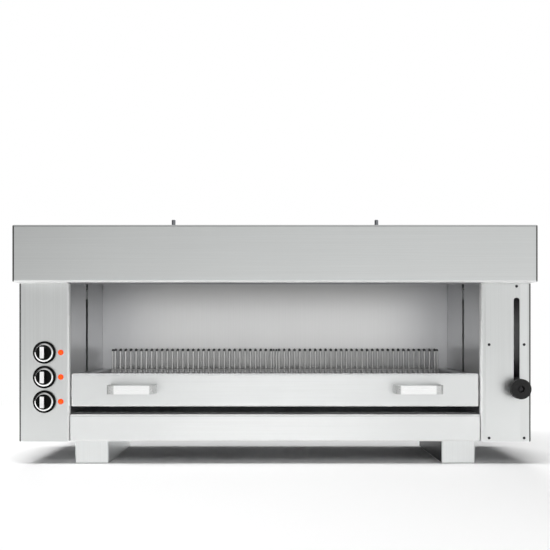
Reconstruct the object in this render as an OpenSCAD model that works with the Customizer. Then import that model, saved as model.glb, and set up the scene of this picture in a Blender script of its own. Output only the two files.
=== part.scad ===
// Electric cheese melter with three heating zones, a rack that a side knob raises,
// and a drip tray that slides out at the front. Millimetres, +Z up, front towards -Y.
// The origin lies on the counter, at the middle of the cabinet's width and depth.

/* [Cabinet] */
// Overall width of the cabinet
cabinet_w = 1200; // [1100:10:1400]
// Depth of the body behind its front plates
body_d = 402; // [396:2:460]
// Height of the body between the feet and the hood
body_h = 370; // [366:2:400]
// Width of each side column
column_w = 118; // [116:1:130]
// Thickness of the sheet steel
sheet_t = 1.2; // [1:0.1:1.5]
// Inside radius of the bends that show
edge_r = 4; // [2:0.5:5]
// Depth of the folded returns behind the front plates
return_d = 14; // [12:1:16]
// Diameter of the panel screws' heads
screw_head_d = 6.4; // [5:0.2:8]

/* [Hood] */
// Height of the hood
hood_h = 131; // [126:1:160]
// How far the hood stands out in front of the body
hood_reach = 48; // [46:1:70]
// Diameter of the hanging studs
stud_d = 10; // [8:1:12]
// Length of the hanging studs above the hood
stud_l = 43.5; // [30:0.5:60]
// Distance between the two hanging studs
stud_pitch = 520; // [400:5:700]
// Distance from the front of the body to the hanging studs
stud_y = 170; // [120:1:220]

/* [Feet] */
// Width of a foot rail
foot_w = 80; // [60:1:100]
// Length of a foot rail, front to back
foot_l = 280; // [240:5:340]
// Height of the foot rails
foot_h = 55; // [45:1:80]
// Distance from the side of the cabinet to a foot rail
foot_inset = 126; // [122:1:200]
// Distance from the front of the body to a foot rail
foot_setback = 20; // [16:1:40]
// Thickness of the foot rail's steel
foot_t = 2; // [1.5:0.5:3]

/* [Cavity] */
// Depth of the cooking cavity
cavity_d = 348; // [342:1:360]
// Height of the panel below the drip tray
lower_panel_h = 63; // [50:1:66]
// Open gap between that panel's upper edge and the cavity floor
floor_gap = 30; // [10:2:40]
// Open joint at each end of the panel below the drip tray
lower_panel_gap = 2.5; // [1:0.5:4]
// Height of the cavity's ceiling above the hood's underside
ceiling_h = 75; // [70:1:80]
// Diameter of the heating tubes
tube_d = 8.5; // [6.5:0.5:10]
// Distance between the legs of a heating tube
leg_pitch = 66; // [56:1:70]
// Distance from the ceiling down to the middle of the heating tubes
tube_drop = 28; // [20:1:30]
// Length of a heating tube's straight inner legs
tube_l = 197; // [160:1:205]

/* [Drip tray] */
// Open gap between the lower panel and the tray front
tray_gap = 19; // [16:1:22]
// Height of the tray front
tray_front_h = 77; // [72:1:80]
// Depth of the tray front's folded edges
tray_front_d = 14; // [10:1:16]
// Gap at each end of the tray front
tray_side_gap = 4.7; // [2:0.1:6]
// Depth of the tray's pan
pan_h = 38; // [28:1:40]
// Length of the tray's pan, front to back
pan_l = 300; // [280:1:320]
// Distance from the end of the tray front to the middle of a handle
handle_side = 145.3; // [100:0.1:220]
// Height of the handles' middle above the tray front's lower edge
handle_up = 41.7; // [36:0.1:46]
// Width of a handle
handle_w = 110; // [90:1:140]
// Height of a handle's strap
handle_h = 20; // [14:1:26]
// Thickness of a handle's strap
handle_t = 3; // [2:0.5:4]
// How far a handle stands out from the tray front
handle_reach = 45; // [35:1:46]
// Outside radius of a handle's corners
handle_r = 14; // [8:1:18]

/* [Rack] */
// Diameter of the rack's rods
rod_d = 7; // [6:0.5:8]
// Distance between the rods
rod_pitch = 14.3; // [13:0.1:20]
// Distance from the tray front's upper edge down to the rods' centre line
rack_drop = 19; // [15:0.5:22]
// Gap between the tray front and the front ends of the rods
rack_front_gap = 18; // [16:1:30]
// Height of the upturned rods at the back, above the rods' centre line
upstand_h = 72.5; // [50:0.5:76]
// Distance from the front of the body to the upturned rods
upstand_y = 316; // [306:1:322]
// Gap between the rack and the cavity's side wall
rack_side_gap = 32; // [28:1:40]
// Gap between the two halves of the rack
rack_mid_gap = 2.4; // [1:0.1:6]
// Diameter of the cross wires and side wires
wire_d = 5; // [4:0.5:5.5]
// Height of the rack frame's ledges above the rods' centre line
ledge_up = 16.4; // [14:0.2:20]
// Gap between the rack frame's ledges and the cavity's walls
ledge_gap = 3; // [2:0.5:6]
// Thickness of the rack frame's steel
rail_t = 2; // [1.5:0.5:3]

/* [Lift] */
// Distance from the front of the body to the middle of the side wall slots
wall_slot_y = 169; // [160:1:180]
// Width of the side wall slots
wall_slot_w = 21.5; // [20:0.5:24]
// Diameter of the guide rods
guide_d = 12; // [10:1:14]
// Running clearance between the guide rods and their bushes, on the radius
guide_clear = 0.05; // [0.02:0.01:0.1]
// Outer diameter of the bushes
bush_d = 18; // [17:1:20]
// Height of the lift blocks
lift_block_h = 60; // [50:1:66]
// Size of the square bars that carry the rack frame
bar_s = 16; // [14:1:17]
// Width of the lift slot in the cover plate
lift_slot_w = 14; // [13:0.5:16]
// Distance from the side of the cabinet to the middle of the lift slot
lift_slot_side = 34.5; // [34:0.5:37]
// Distance from the hood down to the top of the lift slot
lift_slot_drop = 33; // [28:1:40]
// Height of the lift knob's axis above the underside of the body
lift_knob_h = 125; // [122:1:130]
// Diameter of the lift knob
lift_knob_d = 46.8; // [40:0.2:52]
// Thickness of the lift knob's disc
lift_knob_t = 15; // [12:1:18]
// Height of the cover plate's middle screws above the underside of the body
cover_screw_h = 227; // [180:1:260]
// Distance from the cover plate to the lift knob's face
lift_knob_reach = 36; // [34:1:42]
// Diameter of the recess in the lift knob's face
lift_recess_d = 15.6; // [13:0.2:20]

/* [Controls] */
// Diameter of the control knobs
knob_d = 52.5; // [48:0.5:54]
// How far a control knob stands out
knob_reach = 22.5; // [20:0.5:30]
// Distance between the control knobs
knob_pitch = 57.5; // [56:0.5:70]
// Height of the middle control knob above the underside of the body
knob_mid_h = 151; // [140:1:200]
// Distance from the side of the cabinet to the control knobs' axes
knob_side = 60.5; // [58:0.5:62]
// Distance from a control knob's axis to its lamp
lamp_offset = 37.8; // [36:0.1:40]
// Diameter of a lamp's lens
lamp_d = 13; // [12:0.5:14]

/* [Hidden] */

$fn = 48;
bend_steps = 5;      // flats in a sheet bend
tight_r = 1;         // inside radius of the bends that do not show
move_gap = 0.3;      // gap between faces that slide past each other
fit_gap = 0.1;       // radial gap round a screw or a pressed shaft
weld = 0.4;          // how far welded wires sink into each other

// Main planes
side_x = cabinet_w / 2;
inner_x = side_x - column_w;
front_y = (hood_reach - body_d) / 2;
rear_y = front_y + body_d;
rear_face_y = rear_y - 2.4;          // face of the rear panel, set in by its screws' heads
rear_in_y = rear_face_y - sheet_t;
hood_front_y = front_y - hood_reach;
back_y = front_y + cavity_d;
base_z = foot_h;
floor_z = base_z + lower_panel_h;
hood_z = base_z + body_h;
ceiling_z = hood_z + ceiling_h;
top_z = hood_z + hood_h;
skirt_y = front_y + 5;               // front skirt of the heat reflector
skirt_z = hood_z - 1.5;              // lower edge of that skirt
hood_lip_y = hood_front_y + 15;      // where the hood's lower front flange ends
flange = 12;                         // width of the liners' flanges
panel_fold_y = front_y + return_d;   // where the front plates' returns end

// Drip tray
tray_z = floor_z + tray_gap;
tray_x = inner_x - tray_side_gap;
tray_edge_r = 3;
pan_z = tray_z;
pan_x = inner_x - 24;
pan_lip_z = pan_z + pan_h - sheet_t;
handle_x = tray_x - handle_side;
pan_lip_x = inner_x - 10;
pan_y = front_y + tray_front_d;
pan_front_gap = 4.4;                 // gap from the pan's front wall up to the rack's frame
runner_w = 18;
runner_h = 14;

// Rack and its frame
rack_z = tray_z + tray_front_h - rack_drop;
rack_x = inner_x - rack_side_gap;
grid_w = rack_x - rack_mid_gap / 2;
rod_count = floor((grid_w - 2 * wire_d - rod_d - 1) / rod_pitch) + 1;
grid_front_y = front_y + tray_front_d + rack_front_gap;
rod_rear_y = front_y + upstand_y;
rod_bend_r = 10;                     // centre line radius where the rods turn up
rod_tip_r = 5;                       // centre line radius where the rods bend back
rod_tip_l = 4;
wire_z = rack_z - (rod_d + wire_d) / 2 + weld;
rail_z = wire_z - wire_d / 2;        // where the grids' wires rest
rail_play = 3;                       // gap between the grids and the frame round them
rail_x = rack_x + rail_play;
rail_y = [grid_front_y - rail_t - 1, rod_rear_y + 8];
rail_foot = 14;                      // width of the frame's lower flange
strip_w = 36;                        // width of the strips under the grids
ledge_z = rack_z + ledge_up;
bar_t = 1.5;
bar_z = ledge_z - rail_t - 4 - bar_s / 2;

// Lift mechanism
lift_y = front_y + wall_slot_y;
guide_x = [inner_x + 32, side_x - 30];
lift_block_x = [guide_x[0] - 15, guide_x[1] + 15];
lift_block_d = 32;
lift_block_z = bar_z - lift_block_h / 2;
bush_lip = 2;
bracket_t = 3;
bracket_w = 40;
bracket_leg = 20;
spigot_d = guide_d - 4;
lift_slot_x = side_x - lift_slot_side;
lift_z = base_z + lift_knob_h;
nose_up = 25;                        // guide nose above the knob's axis
nose_down = 20;                      // guide nose below the knob's axis
nose_play = 1.5;                     // gap between the guide nose and the slot's sides
stop_gap = 2;                        // slot length left at each end of the travel
lift_slot_top = hood_z - lift_slot_drop;
lift_slot_foot = lift_z - nose_down - stop_gap;
lift_travel = lift_slot_top - stop_gap - lift_z - nose_up;
cover_y = front_y - sheet_t;         // face of the cover plate
arm_w = 10;
arm_h = 20;
guide_flange_t = 6;
clamp_d = 8;                         // diameter of the clamp stud
clamp_depth = 12;                    // how far the clamp stud reaches into the arm
washer_t = 3;
washer_d = 30;
insert_d = 12;
lift_recess_h = 8;
guide_low_z = lift_block_z - 6;
guide_high_z = lift_block_z + lift_block_h + bush_lip + lift_travel + 2;

// Openings in the right column's plates
cover_x = [inner_x + 10, side_x - 9];
cover_z = [base_z + 3, hood_z - 1];
cover_screw_x = [cover_x[0] + 9, cover_x[1] - 8];
cover_screw_z = [base_z + 8.4, base_z + cover_screw_h];
top_screw_z = hood_z - 6.5;
window_x = [cover_screw_x[0] + 8, lift_slot_x + 11];
window_z = [base_z + 40, hood_z - 16];

// Heating elements
zone_pitch = 2 * inner_x / 3 - 11;
tube_z = ceiling_z - tube_drop;
tube_front_y = skirt_y + leg_pitch / 2 + tube_d / 2 + 8;
tube_rear_y = tube_front_y + tube_l;
terminal_y = tube_rear_y + 30;
terminal_bend_r = 15;
terminal_z = ceiling_z + 25;
support_y = [tube_front_y + 25, tube_rear_y - 15];
support_t = 1.5;
support_lip = 8;
support_end = 16;                    // length of a support beyond the outermost tube
stud_step = 0.5;                     // how much a stud narrows where it passes the hood
stud_y0 = front_y + stud_y;

// Controls
knob_x = -side_x + knob_side;
knob_z = [base_z + knob_mid_h + knob_pitch, base_z + knob_mid_h, base_z + knob_mid_h - knob_pitch];
lamp_x = knob_x + lamp_offset;
shaft_d = 6;
shaft_clear = 0.05;
knob_gap = 0.4;                      // gap between a knob and the fascia
skirt_h = 6;                         // height of the knob's skirt
cap_h = 12;                          // height of the knob's cap
ring_d = [35.8, 43];                 // inner and outer diameter of the knob's ring
ridge_w = 9.6;
ridge_l = 26.4;
marker_t = 0.8;
regulator_s = 44;
regulator_d = 32;
regulator_gap = 10;                  // gap between the fascia and a regulator's case
bush_neck_d = 9.4;
lamp_body_d = 10;
lamp_body_l = 28;

// Unit vector, left normal and signed turn between two directions
function unit(v) = v / norm(v);
function left(v) = [-v[1], v[0]];
function turn(u, v) = atan2(u[0] * v[1] - u[1] * v[0], u * v);
function reversed(p) = [for (i = [len(p) - 1:-1:0]) p[i]];
function arc(c, r, a0, a, steps) =
    [for (i = [0:steps]) c + r * [cos(a0 + a * i / steps), sin(a0 + a * i / steps)]];

// One bend of a folded strip: r_face places it, r_arc is the face that is drawn
function bend(p, u, v, r_face, r_arc, steps) =
    let (a = turn(u, v), s = sign(a))
    let (c = p - u * r_face * tan(abs(a) / 2) + left(u) * s * r_face)
    arc(c, r_arc, atan2(-s * left(u)[1], -s * left(u)[0]), a, steps);

// Outline of a strip of thickness t, laid to the left of the path, with inside radius r
function strip(path, t, r, steps = bend_steps) =
    let (n = len(path))
    let (u = [for (i = [1:n - 1]) unit(path[i] - path[i - 1])])
    let (out = [for (i = [1:n - 2]) turn(u[i - 1], u[i]) > 0])
    let (face = [for (b = out) b ? r + t : r])
    let (back = [for (b = out) b ? r : r + t])
    concat(
        [path[0]],
        [for (i = [1:n - 2]) each bend(path[i], u[i - 1], u[i], face[i - 1], face[i - 1], steps)],
        [path[n - 1], path[n - 1] + t * left(u[n - 2])],
        [for (i = [n - 2:-1:1])
            each reversed(bend(path[i], u[i - 1], u[i], face[i - 1], back[i - 1], steps))],
        [path[0] + t * left(u[0])]
    );

// Rectangle from corner a to corner b with corners of radius r
function rounded(a, b, r, steps = bend_steps) = concat(
    arc([b[0] - r, b[1] - r], r, 0, 90, steps),
    arc([a[0] + r, b[1] - r], r, 90, 90, steps),
    arc([a[0] + r, a[1] + r], r, 180, 90, steps),
    arc([b[0] - r, a[1] + r], r, 270, 90, steps)
);

// Extrusions along each axis: of an (x, y), a (y, z) and an (x, z) outline
module upright(z) { translate([0, 0, z[0]]) linear_extrude(z[1] - z[0]) children(); }
module crosswise(x) { translate([x[0], 0, 0]) rotate([90, 0, 90]) linear_extrude(x[1] - x[0]) children(); }
module lengthwise(y) { translate([0, y[1], 0]) rotate([90, 0, 0]) linear_extrude(y[1] - y[0]) children(); }
module block(lo, hi) { translate(lo) cube(hi - lo); }
module mirrored() { mirror([1, 0, 0]) children(); }
module facing(x, z) { translate([x, front_y, z]) rotate([90, 0, 0]) children(); }

// Box with every edge rounded
module rounded_box(lo, hi, r) {
    intersection() {
        upright([lo[2], hi[2]]) polygon(rounded([lo[0], lo[1]], [hi[0], hi[1]], r));
        crosswise([lo[0], hi[0]]) polygon(rounded([lo[1], lo[2]], [hi[1], hi[2]], r));
        lengthwise([lo[1], hi[1]]) polygon(rounded([lo[0], lo[2]], [hi[0], hi[2]], r));
    }
}

// Upright slot or bar with half-round ends, between heights z[0] and z[1]
module stadium(x, w, z) { polygon(rounded([x - w / 2, z[0]], [x + w / 2, z[1]], w / 2, 8)); }

// ---- Cabinet ----

module foot_rail() {
    lo = [side_x - foot_inset - foot_w, front_y + foot_setback, 0];
    hi = [side_x - foot_inset, front_y + foot_setback + foot_l, foot_h];
    r = 3 + foot_t;
    t = [foot_t, foot_t, foot_t];
    lip = 14;
    color("gainsboro") {
        difference() {
            rounded_box(lo, hi + [0, 0, 2 * r], r);
            rounded_box(lo + t, hi + [-foot_t, -foot_t, 3 * r], r - foot_t);
            block([lo[0] - 1, lo[1] - 1, foot_h], hi + [1, 1, 3 * r]);
        }
        difference() {
            block([lo[0] + foot_t, lo[1] + foot_t, foot_h - foot_t], hi - [foot_t, foot_t, 0]);
            block([lo[0] + lip, lo[1] + lip, foot_h - 2 * foot_t], hi + [-lip, -lip, 1]);
        }
    }
}

module base_pan() {
    x = side_x - sheet_t;
    rear_x = side_x - return_d - 2;
    rim = 15;                        // height of the upturned rims
    rim_end = 20;                    // how far a side rim stops short of the corners
    color("silver") difference() {
        union() {
            block([-side_x, panel_fold_y, base_z], [side_x, rear_in_y, base_z + sheet_t]);
            block([-rear_x, rear_in_y - sheet_t, base_z], [rear_x, rear_in_y, base_z + rim]);
            for (m = [0, 1]) mirror([m, 0, 0]) {
                block([inner_x + sheet_t, front_y + sheet_t + edge_r, base_z],
                      [x, panel_fold_y, base_z + sheet_t]);
                block([inner_x + sheet_t + edge_r, front_y + sheet_t, base_z],
                      [x - edge_r, front_y + sheet_t + edge_r, base_z + sheet_t]);
                block([x - sheet_t, panel_fold_y + rim_end, base_z], [x, rear_in_y - rim_end, base_z + rim]);
            }
        }
        gland_place() translate([0, 0, -1]) cylinder(d = gland_neck_d + 2 * fit_gap, h = sheet_t + 2);
        rear_holes();
    }
}

vent_w = 5;
vent_l = [56, 36];                   // long vents, and short ones for the rear of the columns
vent_pitch = 14;
vent_count = 9;
side_vents = [rear_y - 90, base_z + 70];      // lowest vent in the left side panel, (y, z)
rear_vents = [side_x - 88, base_z + 190];     // lowest vent behind each column, (x, z)
hood_vents = [stud_pitch / 2, ceiling_z + 8]; // lowest vents in the hood's rear, (x, z)
hood_vent_count = 3;

// Column of level ventilation slots, drawn about the middle of its lowest slot
module vents(l, count = vent_count) {
    for (i = [0:count - 1])
        translate([0, i * vent_pitch])
            polygon(rounded([-l / 2, -vent_w / 2], [l / 2, vent_w / 2], vent_w / 2, 4));
}

module side_panel(vented) {
    path = [[side_x - return_d, panel_fold_y], [side_x, panel_fold_y],
            [side_x, rear_in_y], [side_x - return_d, rear_in_y]];
    color("gainsboro") difference() {
        upright([base_z + sheet_t, hood_z]) polygon(strip(path, sheet_t, tight_r));
        rear_holes();
        if (vented)
            crosswise([side_x - 5, side_x + 5]) translate(side_vents) vents(vent_l[0]);
    }
}

module rear_panel() {
    color("silver") difference() {
        block([-side_x, rear_in_y, base_z], [side_x, rear_face_y, hood_z]);
        for (s = [-1, 1])
            lengthwise([rear_y - 10, rear_y]) translate([s * rear_vents[0], rear_vents[1]]) vents(vent_l[1]);
        rear_holes();
    }
}

screw_d = 4;
screw_edge = 8;                      // distance from the rear panel's edges to its screws

function rear_screws() = concat(
    [for (x = [-1, 1]) for (z = [base_z + screw_edge, hood_z - screw_edge]) [x * (side_x - screw_edge), z]],
    [[0, base_z + screw_edge]]
);

module rear_holes() {
    for (p = rear_screws())
        translate([p[0], rear_y, p[1]]) rotate([90, 0, 0])
            cylinder(d = screw_d + 2 * fit_gap, h = 8);
}

module front_plate() {
    path = [[inner_x, panel_fold_y], [inner_x, front_y], [side_x, front_y], [side_x, panel_fold_y]];
    upright([base_z, hood_z]) polygon(strip(path, sheet_t, edge_r));
}

module control_fascia() {
    color("gainsboro") difference() {
        mirrored() front_plate();
        for (z = knob_z) {
            facing(knob_x, z) translate([0, 0, -5]) cylinder(d = bush_neck_d + 2 * fit_gap, h = 10);
            facing(lamp_x, z) translate([0, 0, -5]) cylinder(d = lamp_body_d + 2 * fit_gap, h = 10);
        }
    }
}

module cover_holes(y) {
    for (p = cover_screws())
        translate([p[0], y, p[1]]) rotate([90, 0, 0])
            cylinder(d = screw_d + 2 * fit_gap, h = 6, center = true);
}

function cover_screws() = concat(
    [for (x = cover_screw_x) for (z = cover_screw_z) [x, z]],
    [[lift_slot_x, top_screw_z]]
);

module right_column_frame() {
    color("gainsboro") difference() {
        front_plate();
        block([window_x[0], front_y - 5, window_z[0]], [window_x[1], front_y + 5, window_z[1]]);
        cover_holes(front_y);
    }
}

tongue_d = 0.4;                      // how deep the cover plate steps back above its slot

module slot_cover_plate() {
    color("gainsboro") difference() {
        block([cover_x[0], cover_y, cover_z[0]], [cover_x[1], front_y, cover_z[1]]);
        lengthwise([cover_y - 1, front_y + 1])
            stadium(lift_slot_x, lift_slot_w, [lift_slot_foot, lift_slot_top]);
        block([lift_slot_x - lift_slot_w / 2, cover_y - 1, lift_slot_top - lift_slot_w / 2],
              [lift_slot_x + lift_slot_w / 2, cover_y + tongue_d, cover_z[1] + 1]);
        cover_holes(cover_y);
    }
}

// Button head screw along +Z with the underside of its head at the origin
module button_screw() {
    shank = 8;
    rim = 0.8;
    dome = 1.4;
    r = screw_head_d / 2;
    rotate_extrude() polygon(concat(
        [[0, -shank], [screw_d / 2, -shank], [screw_d / 2, 0], [r, 0], [r, rim]],
        [for (a = [22.5:22.5:90]) [r * cos(a), rim + dome * sin(a)]]
    ));
}

module panel_screws() {
    color("dimgray") {
        for (p = cover_screws()) {
            y = p[1] == top_screw_z ? cover_y + tongue_d : cover_y;
            translate([p[0], y, p[1]]) rotate([90, 0, 0]) button_screw();
        }
        for (p = rear_screws())
            translate([p[0], rear_face_y, p[1]]) rotate([-90, 0, 0]) button_screw();
    }
}

module liner() {
    path = [[inner_x + flange, back_y], [inner_x, back_y],
            [inner_x, panel_fold_y], [inner_x + flange, panel_fold_y]];
    slot_y = [lift_y - wall_slot_w / 2, lift_y + wall_slot_w / 2];
    slot_end = [4, 30];              // how far the slot stops above the floor and below the ceiling
    color("lightgray") difference() {
        union() {
            upright([base_z + sheet_t, hood_z]) polygon(strip(path, sheet_t, tight_r));
            block([inner_x, panel_fold_y + 4, hood_z], [inner_x + sheet_t, back_y - 4, ceiling_z]);
        }
        block([inner_x - 1, slot_y[0], floor_z + slot_end[0]],
              [inner_x + sheet_t + 1, slot_y[1], ceiling_z - slot_end[1]]);
    }
}

module back_liner() {
    x = inner_x + flange;
    color("lightgray") {
        block([-x, back_y, base_z + sheet_t], [x, back_y + sheet_t, hood_z]);
        block([-inner_x, back_y, hood_z], [inner_x, back_y + sheet_t, ceiling_z]);
    }
}

module cavity_floor() {
    color("darkgray") block([-inner_x, panel_fold_y + floor_gap, floor_z - sheet_t],
                         [inner_x, back_y, floor_z]);
}

module lower_front_panel() {
    path = [[panel_fold_y, floor_z], [front_y, floor_z], [front_y, base_z], [panel_fold_y, base_z]];
    x = inner_x - lower_panel_gap;
    color("gainsboro") crosswise([-x, x]) polygon(strip(path, sheet_t, edge_r));
}

// ---- Hood ----

module hood_shell() {
    lo = [-side_x, hood_front_y, hood_z];
    hi = [side_x, rear_y, top_z];
    r = edge_r + sheet_t;
    t = [sheet_t, sheet_t, sheet_t];
    color("silver") difference() {
        rounded_box(lo, hi, r);
        rounded_box(lo + t, hi - t, edge_r);
        block([-inner_x, hood_lip_y, hood_z - 1], [inner_x, skirt_y, hood_z + sheet_t + 1]);
        block([-inner_x - sheet_t, skirt_y, hood_z - 1],
              [inner_x + sheet_t, back_y + sheet_t, hood_z + sheet_t + 1]);
        for (s = [-1, 1]) {
            translate([s * stud_pitch / 2, stud_y0, top_z - sheet_t - 1])
                cylinder(d = stud_d - 2 * stud_step + 2 * fit_gap, h = sheet_t + 2);
            lengthwise([rear_y - 5, rear_y + 5]) translate([s * hood_vents[0], hood_vents[1]])
                vents(vent_l[0], hood_vent_count);
        }
    }
}

module heat_reflector() {
    color("lightgray") difference() {
        union() {
            block([-inner_x - sheet_t, skirt_y - sheet_t, ceiling_z],
                  [inner_x + sheet_t, back_y + sheet_t, ceiling_z + sheet_t]);
            block([-inner_x, skirt_y - sheet_t, skirt_z], [inner_x, skirt_y, ceiling_z + sheet_t]);
        }
        for (zone = [-1, 0, 1])
            for (x = [-1.5, 1.5])
                translate([zone * zone_pitch + x * leg_pitch, terminal_y + terminal_bend_r, ceiling_z - 1])
                    cylinder(d = tube_d + 2 * fit_gap, h = sheet_t + 2);
    }
}

module ceiling_insulation() {
    side_gap = 4;
    top_gap = 12;
    color("khaki") block([side_gap - inner_x, skirt_y + 2, ceiling_z + sheet_t],
                         [inner_x - side_gap, tube_rear_y, top_z - top_gap]);
}

module element_supports() {
    x = zone_pitch + 1.5 * leg_pitch + support_end;
    color("gray") for (y = support_y) difference() {
        block([-x, y - support_t / 2, tube_z - support_lip], [x, y + support_t / 2, ceiling_z]);
        for (zone = [-1, 0, 1])
            for (i = [-1.5:1:1.5])
                translate([zone * zone_pitch + i * leg_pitch, y, tube_z]) rotate([90, 0, 0])
                    cylinder(d = tube_d + 2 * fit_gap, h = 10, center = true);
    }
}

module tube(l, d = tube_d) { rotate([-90, 0, 0]) cylinder(d = d, h = l); }
module tube_bend(r, a, d = tube_d) { rotate_extrude(angle = a) translate([r, 0]) circle(d = d); }

// Tubular heater of four legs in one plane, with both ends turned up through the ceiling
module heating_element(zone) {
    r = leg_pitch / 2;
    color("dimgray") translate([zone * zone_pitch, 0, tube_z]) {
        for (s = [-1, 1]) {
            translate([s * r, tube_front_y, 0]) tube(tube_rear_y - tube_front_y);
            translate([s * 3 * r, tube_front_y, 0]) tube(terminal_y - tube_front_y);
            translate([s * 2 * r, tube_front_y, 0]) rotate(180) tube_bend(r, 180);
            translate([s * 3 * r, terminal_y, terminal_bend_r]) rotate([90, 0, 90]) rotate(-90)
                tube_bend(terminal_bend_r, 90);
            translate([s * 3 * r, terminal_y + terminal_bend_r, terminal_bend_r]) {
                cylinder(d = tube_d, h = terminal_z - tube_z - terminal_bend_r);
                cylinder(d = tube_d / 2, h = terminal_z - tube_z - terminal_bend_r + 10);
            }
        }
        translate([0, tube_rear_y, 0]) tube_bend(r, 180);
    }
}

module hanging_studs() {
    r = stud_d / 2;
    head_r = r + 6;
    head_t = 3;
    color("gray") for (s = [-1, 1])
        translate([s * stud_pitch / 2, stud_y0, top_z]) rotate_extrude() polygon([
            [0, -sheet_t - head_t], [head_r, -sheet_t - head_t], [head_r, -sheet_t],
            [r - stud_step, -sheet_t], [r - stud_step, 0], [r, 0],
            [r, stud_l - 1], [r - 1, stud_l], [0, stud_l]
        ]);
}

// ---- Services behind the columns ----

gland_x = -side_x + 60;
gland_y = rear_y - 45;
gland_bore_d = 11;
gland_neck_d = 20;

module gland_place() { translate([gland_x, gland_y, base_z]) children(); }

module cable_gland() {
    hex_h = 6;
    nut_h = 4;
    cap_l = 20;
    r = gland_neck_d / 2;
    color("dimgray") gland_place() difference() {
        union() {
            translate([0, 0, -hex_h]) cylinder(d = gland_neck_d + 8, h = hex_h, $fn = 6);
            translate([0, 0, -hex_h]) cylinder(r = r, h = hex_h + sheet_t + 9);
            translate([0, 0, sheet_t]) cylinder(d = gland_neck_d + 8, h = nut_h, $fn = 6);
            rotate_extrude() polygon([
                [0, -hex_h], [r + 2, -hex_h], [r + 2, -cap_l + 2],
                [r - 1, -hex_h - cap_l], [0, -hex_h - cap_l]
            ]);
        }
        translate([0, 0, -hex_h - cap_l - 1]) cylinder(d = gland_bore_d, h = hex_h + cap_l + sheet_t + 11);
    }
}

module terminal_block() {
    poles = 5;
    pitch = 12;
    profile = [[-13, 0], [13, 0], [13, 8], [7, 8], [7, 20], [-7, 20], [-7, 8], [-13, 8]];
    color("ivory") translate([gland_x, gland_y - 60, base_z + sheet_t]) {
        crosswise([-poles * pitch / 2, poles * pitch / 2]) polygon(profile);
        for (i = [0:poles - 1])
            for (s = [-1, 1])
                translate([(i - (poles - 1) / 2) * pitch, s * 10, 8]) cylinder(d = 5, h = 2);
    }
}

module energy_regulators() {
    y0 = sheet_t + regulator_gap;
    color("whitesmoke") for (z = knob_z) facing(knob_x, z) difference() {
        union() {
            translate([-regulator_s / 2, -regulator_s / 2, -y0 - regulator_d])
                cube([regulator_s, regulator_s, regulator_d]);
            translate([0, 0, -y0]) cylinder(d = bush_neck_d, h = y0 + 3.5);
            translate([0, 0, -y0]) cylinder(d = 20, h = regulator_gap);
            cylinder(d = 16, h = 3, $fn = 6);
        }
        translate([0, 0, -y0 - regulator_d + 6])
            cylinder(d = shaft_d + 2 * shaft_clear, h = y0 + regulator_d);
    }
}

module knob_shaft(z) {
    y0 = sheet_t + regulator_gap + regulator_d - 6.5;
    color("silver") facing(knob_x, z) translate([0, 0, -y0]) cylinder(d = shaft_d, h = y0 + cap_h);
}

module lamp_bodies() {
    r = lamp_body_d / 2;
    wall = 1;
    nut_h = 3;
    bottom = 4;
    color("whitesmoke") for (z = knob_z) facing(lamp_x, z) rotate_extrude() polygon([
        [r - wall, 0], [r, 0], [r, -sheet_t], [r + 2, -sheet_t], [r + 2, -sheet_t - nut_h],
        [r, -sheet_t - nut_h], [r, -lamp_body_l], [0, -lamp_body_l],
        [0, -lamp_body_l + bottom], [r - wall, -lamp_body_l + bottom]
    ]);
}

// Domed lens whose rim lies on the fascia
module lamp_lens(z) {
    r = lamp_d / 2;
    plug_r = lamp_body_d / 2 - 1 - fit_gap;
    plug_l = 6;
    rim = 1;
    dome = 2.6;
    color("orangered") facing(lamp_x, z) rotate_extrude() polygon(concat(
        [[0, -plug_l], [plug_r, -plug_l], [plug_r, 0], [r, 0], [r, rim]],
        [for (i = [1:6]) [r * cos(15 * i), rim + dome * sin(15 * i)]]
    ));
}

// ---- Control knobs ----

module control_knob(z) {
    r = knob_d / 2;
    hollow_r = 17;
    hollow_h = 4.5;
    color([0.08, 0.08, 0.08]) facing(knob_x, z) difference() {
        union() {
            rotate_extrude() polygon(concat(
                [[0, knob_gap], [r, knob_gap], [r, skirt_h - 1.5]],
                arc([r - 1.5, skirt_h - 1.5], 1.5, 0, 90, 3),
                [[ring_d[0] / 2, skirt_h], [ring_d[0] / 2, cap_h - 1.5]],
                arc([ring_d[0] / 2 - 1.5, cap_h - 1.5], 1.5, 0, 90, 3),
                [[0, cap_h]]
            ));
            upright([cap_h - 1, knob_reach - marker_t])
                polygon(rounded([-ridge_w / 2, -ridge_l / 2], [ridge_w / 2, ridge_l / 2], 1.2, 3));
        }
        cylinder(r = hollow_r, h = hollow_h);
        cylinder(d = shaft_d, h = cap_h);
    }
}

module knob_ring(z) {
    r = ring_d / 2;
    color("silver") facing(knob_x, z) rotate_extrude() polygon([
        [r[0], skirt_h], [r[1], skirt_h], [r[1], skirt_h + 0.6],
        [r[0] + 0.8, skirt_h + 2], [r[0], skirt_h + 2]
    ]);
}

module knob_marker(z) {
    color("white") facing(knob_x, z) upright([knob_reach - marker_t, knob_reach])
        polygon(rounded([-ridge_w / 2, -ridge_l / 2], [ridge_w / 2, ridge_l / 2], 1.2, 3));
}

// ---- Lift mechanism ----

module guide_rods() {
    color("silver") for (s = [-1, 1]) for (x = guide_x) translate([s * x, lift_y, 0]) {
        translate([0, 0, guide_low_z]) cylinder(d = guide_d, h = guide_high_z - guide_low_z);
        translate([0, 0, guide_low_z - bracket_t])
            cylinder(d = spigot_d, h = guide_high_z - guide_low_z + 2 * bracket_t);
    }
}

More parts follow.
